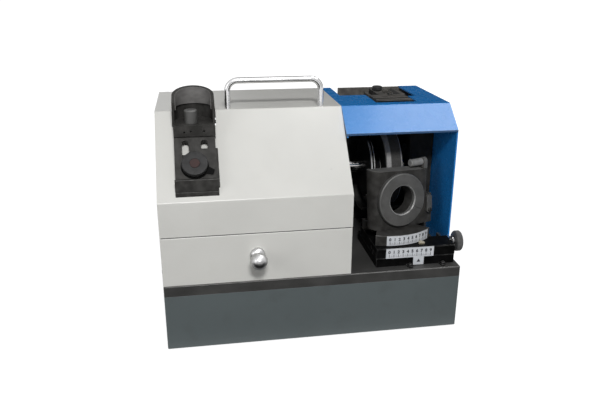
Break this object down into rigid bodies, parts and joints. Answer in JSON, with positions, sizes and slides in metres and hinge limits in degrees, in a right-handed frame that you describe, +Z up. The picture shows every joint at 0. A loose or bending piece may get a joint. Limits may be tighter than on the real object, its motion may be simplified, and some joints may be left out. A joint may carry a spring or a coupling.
{
  "type": "tap grinder",
  "caption": "Bench tap grinder: sheet base, white casing with drawer, carrying handle and setting station, blue hood over a swivelling chuck head on a screw-fed cross slide, motor-driven wheel.",
  "frame": {"origin": "centre of the base's footprint, on the surface it stands on", "axes": "+X to the right seen from the front, the front faces -Y, +Z up"},
  "size_m": [0.4155, 0.259, 0.3441],
  "materials": {
    "casing_white": "satin textured enamel",
    "base_grey": "satin enamel",
    "plate_dark": "machined and blackened",
    "hood_blue": "gloss enamel",
    "black_steel": "black oxide, satin",
    "ring_steel": "hardened, turned",
    "bright_steel": "turned bright",
    "chrome": "polished",
    "black_plastic": "moulded, satin",
    "rocker_plastic": "gloss",
    "red_plastic": "dull red",
    "brass": "turned",
    "rubber": "matt",
    "zinc_sheet": "zinc plated",
    "motor_alloy": "cast",
    "core_steel": "laminated",
    "capacitor_plastic": "moulded",
    "wheel_alloy": "turned",
    "abrasive": "bonded abrasive grain",
    "plate_white": "white enamel",
    "dark_screw": "black oxide"
  },
  "bodies": {
    "frame": {"base_box": "base_grey", "rubber_feet": "rubber", "base_plate": "plate_dark", "casing_shell": "casing_white", "casing_rear_panel": "casing_white", "power_inlet": "black_plastic", "switch_housing": "black_plastic", "drawer_runners": "zinc_sheet", "motor_deck": "zinc_sheet", "motor_housing": "motor_alloy", "stator_core": "core_steel", "motor_end_bells": "motor_alloy", "motor_bearings": "bright_steel", "motor_feet": "motor_alloy", "motor_capacitor": "capacitor_plastic", "wheel_guard": "black_steel", "carry_handle": "chrome", "handle_fixings": "chrome", "setting_rail": "black_steel", "rail_studs": "bright_steel", "hood_shell": "hood_blue", "hood_back": "black_steel", "cover_screws": "dark_screw", "slide_base": "black_steel", "slide_base_screws": "dark_screw", "mark_plate": "plate_white", "feed_nut": "brass", "port_bracket": "black_steel"},
    "power_rocker": {"switch_rocker": "rocker_plastic"},
    "drawer": {"drawer_front": "casing_white", "drawer_tray": "zinc_sheet", "drawer_knob": "chrome"},
    "spindle": {"rotor_shaft": "bright_steel", "cooling_fan": "black_plastic", "wheel_flange": "bright_steel", "wheel_core": "wheel_alloy", "wheel_rim": "abrasive", "clamp_flange": "bright_steel", "spindle_nut": "bright_steel"},
    "setting_slide": {"setting_plate": "black_steel", "setting_cradle": "black_steel", "setting_post": "ring_steel"},
    "setting_clamp": {"clamp_knob": "black_plastic", "clamp_knob_cap": "red_plastic"},
    "slide": {"cross_slide": "black_steel", "gib_strip": "brass", "screw_bracket": "black_steel", "scale_pointer": "brass", "swivel_studs": "bright_steel"},
    "feed": {"feed_screw": "bright_steel", "feed_dial": "bright_steel", "feed_knob": "black_plastic"},
    "swivel": {"swivel_plate": "black_steel", "chuck_block": "black_steel", "chuck_ring": "ring_steel", "pawl_pin": "bright_steel"},
    "stop": {"stop_screw": "ring_steel"},
    "pawl": {"index_pawl": "ring_steel"},
    "port_rest": {"port_slide": "black_steel"},
    "port_clamp": {"port_knob": "black_plastic"}
  },
  "joints": [
    {"name": "drawer_travel", "type": "slide", "parent": "frame", "child": "drawer", "axis": [0, -1, 0], "range_m": [0, 0.13]},
    {"name": "spindle_spin", "type": "hinge", "parent": "frame", "child": "spindle", "pos_m": [0, 0.037, 0.198], "axis": [1, 0, 0], "continuous": true},
    {"name": "setting_travel", "type": "slide", "parent": "frame", "child": "setting_slide", "axis": [0, 0.6554, 0.7553], "range_m": [0, 0.01]},
    {"name": "setting_clamp_turn", "type": "hinge", "parent": "frame", "child": "setting_clamp", "pos_m": [-0.1518, -0.09605, 0.2479], "axis": [0, -0.7553, 0.6554], "range_deg": [0, 180]},
    {"name": "cross_travel", "type": "slide", "parent": "frame", "child": "slide", "axis": [1, 0, 0], "range_m": [-0.002, 0.01]},
    {"name": "feed_turn", "type": "hinge", "parent": "slide", "child": "feed", "pos_m": [0.195, -0.074, 0.115], "axis": [1, 0, 0], "range_deg": [-365, 1805]},
    {"name": "swivel_turn", "type": "hinge", "parent": "slide", "child": "swivel", "pos_m": [0.113, -0.013, 0.1212], "axis": [0, 0, 1], "range_deg": [-13, 16]},
    {"name": "stop_turn", "type": "hinge", "parent": "swivel", "child": "stop", "pos_m": [0.16495, -0.03245, 0.2221], "axis": [0.9563, 0.2924, 0], "range_deg": [0, 180]},
    {"name": "pawl_swing", "type": "hinge", "parent": "swivel", "child": "pawl", "pos_m": [0.17186, -0.04648, 0.15509], "axis": [0.2908, -0.9511, 0.1045], "range_deg": [-6, 10], "stiffness_Nm_per_rad": 0.05},
    {"name": "port_travel", "type": "slide", "parent": "frame", "child": "port_rest", "axis": [0, 1, 0], "range_m": [-0.005, 0.005]},
    {"name": "port_clamp_turn", "type": "hinge", "parent": "frame", "child": "port_clamp", "pos_m": [0.124, 0.071, 0.2974], "axis": [0, 0, 1], "range_deg": [0, 180]},
    {"name": "rocker_tilt", "type": "hinge", "parent": "frame", "child": "power_rocker", "pos_m": [-0.15, 0.111, 0.124], "axis": [1, 0, 0], "range_deg": [-16, 0]}
  ],
  "couplings": [
    {"joint": "feed_turn", "follows": "cross_travel", "rad_per_m": 3141.6}
  ]
}
